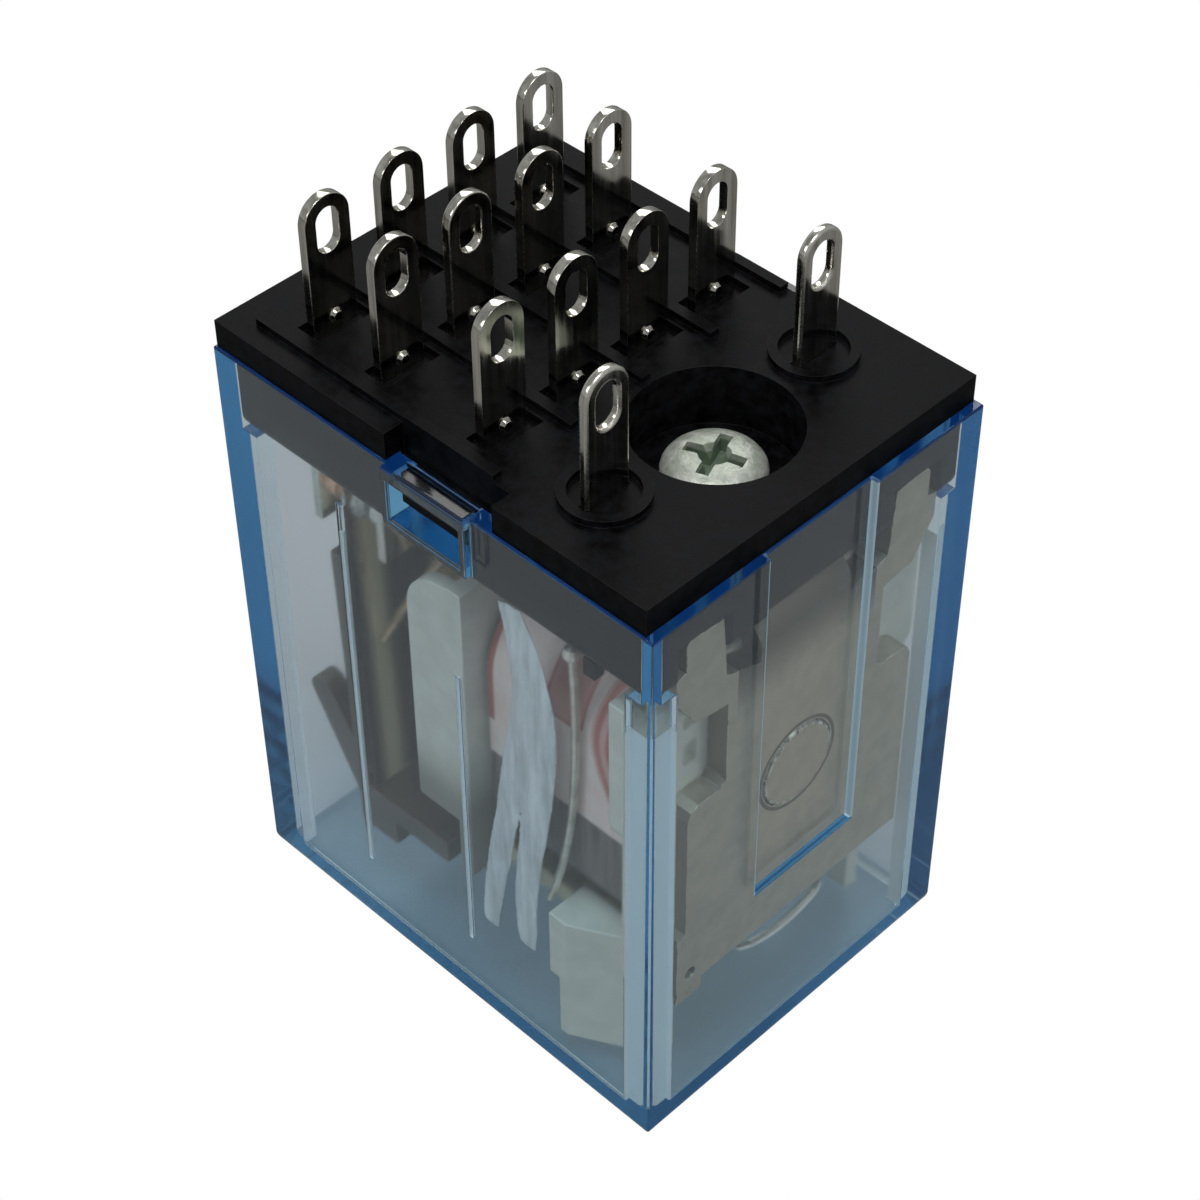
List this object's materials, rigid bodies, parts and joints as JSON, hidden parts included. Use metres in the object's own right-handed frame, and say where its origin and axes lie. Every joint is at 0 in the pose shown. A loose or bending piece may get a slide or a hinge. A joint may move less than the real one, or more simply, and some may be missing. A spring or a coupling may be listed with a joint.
{
  "type": "power relay",
  "caption": "Plug-in power relay with flat blade terminals, a screw well in its black base, and a clear blue cover that shows the coil, yoke, hinged armature and spring contacts",
  "frame": {"origin": "centre of the cover's closed end, which the relay stands on with its blades up", "axes": "+Z from the closed end to the blades; +X from the contact end to the coil end, where the two coil blades and the base screw are; Y across the four poles"},
  "size_m": [0.028, 0.022, 0.0428],
  "materials": {
    "cover": "clear blue, glossy",
    "base": "black, satin",
    "screw": "zinc plated, bright",
    "steel": "plated, dull",
    "core_steel": "plated, dull",
    "bobbin": "ivory, satin",
    "winding": "enamelled wire, fine ridges",
    "tape": "printed film, smooth",
    "sleeve": "milky film, soft sheen",
    "spring_steel": "drawn wire, bright",
    "block": "dark brown, satin",
    "rivet": "bright",
    "blade": "nickel plated, polished",
    "lead": "tinned wire, bright",
    "copper_contact": "copper coloured, bright",
    "silver_contact": "silver, bright",
    "shunt": "stranded wire, dull",
    "leaf_spring": "rolled strip, satin"
  },
  "bodies": {
    "frame": {"cover": "cover", "base": "base", "base_screw": "screw", "yoke": "steel", "core": "core_steel", "bobbin": "bobbin", "coil_winding": "winding", "coil_tape": "tape", "lead_sleeve": "sleeve", "hinge_spring": "spring_steel", "coil_terminal_1": "blade", "coil_terminal_2": "blade", "coil_lead_1": "lead", "coil_lead_2": "lead", "nc_terminal_1": "blade", "nc_terminal_2": "blade", "nc_terminal_3": "blade", "nc_terminal_4": "blade", "no_terminal_1": "blade", "no_terminal_2": "blade", "no_terminal_3": "blade", "no_terminal_4": "blade", "common_terminal_1": "blade", "common_terminal_2": "blade", "common_terminal_3": "blade", "common_terminal_4": "blade", "nc_contact_1": "copper_contact", "nc_contact_2": "copper_contact", "nc_contact_3": "copper_contact", "nc_contact_4": "copper_contact", "no_contact_1": "silver_contact", "no_contact_2": "silver_contact", "no_contact_3": "silver_contact", "no_contact_4": "silver_contact", "shunt_lead_1": "shunt", "shunt_lead_2": "shunt", "shunt_lead_3": "shunt", "shunt_lead_4": "shunt"},
    "armature": {"armature": "steel", "spring_block": "block", "block_rivets": "rivet", "moving_spring_1": "leaf_spring", "moving_spring_2": "leaf_spring", "moving_spring_3": "leaf_spring", "moving_spring_4": "leaf_spring", "moving_contact_1": "silver_contact", "moving_contact_2": "silver_contact", "moving_contact_3": "silver_contact", "moving_contact_4": "silver_contact"}
  },
  "joints": [
    {"name": "armature_pivot", "type": "hinge", "parent": "frame", "child": "armature", "pos_m": [0.0116, 0, 0.0088], "axis": [0, 1, 0], "range_deg": [0, 2], "stiffness_Nm_per_rad": 0.05, "springref_deg": -3.44, "deforming": ["hinge_spring", "shunt_lead_1", "shunt_lead_2", "shunt_lead_3", "shunt_lead_4"]}
  ]
}
